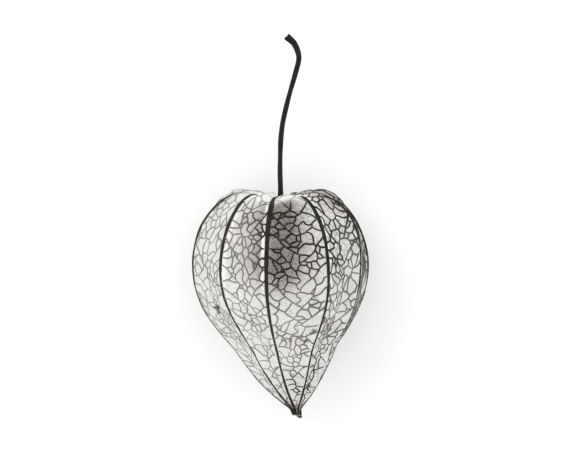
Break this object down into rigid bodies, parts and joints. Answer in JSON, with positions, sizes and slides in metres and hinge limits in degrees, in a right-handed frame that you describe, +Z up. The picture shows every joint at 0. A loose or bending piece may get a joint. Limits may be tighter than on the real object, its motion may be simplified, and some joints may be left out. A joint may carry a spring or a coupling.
{
  "type": "physalis berry",
  "caption": "Dried physalis lantern lying on its side: a ribbed, net-veined papery husk with the round berry inside and a hooked stalk.",
  "frame": {"origin": "on the surface the lantern lies on, under the middle of its bounding box", "axes": "+Y runs from the husk's tip to the hooked end of the stalk, +Z is up, and the husk's front faces +Z"},
  "size_m": [0.035, 0.077, 0.0336],
  "materials": {
    "husk_paper": "matte",
    "berry_skin": "satin",
    "stalk_fibre": "matte"
  },
  "bodies": {
    "root": {"husk": "husk_paper", "berry": "berry_skin", "stalk": "stalk_fibre"}
  },
  "joints": []
}
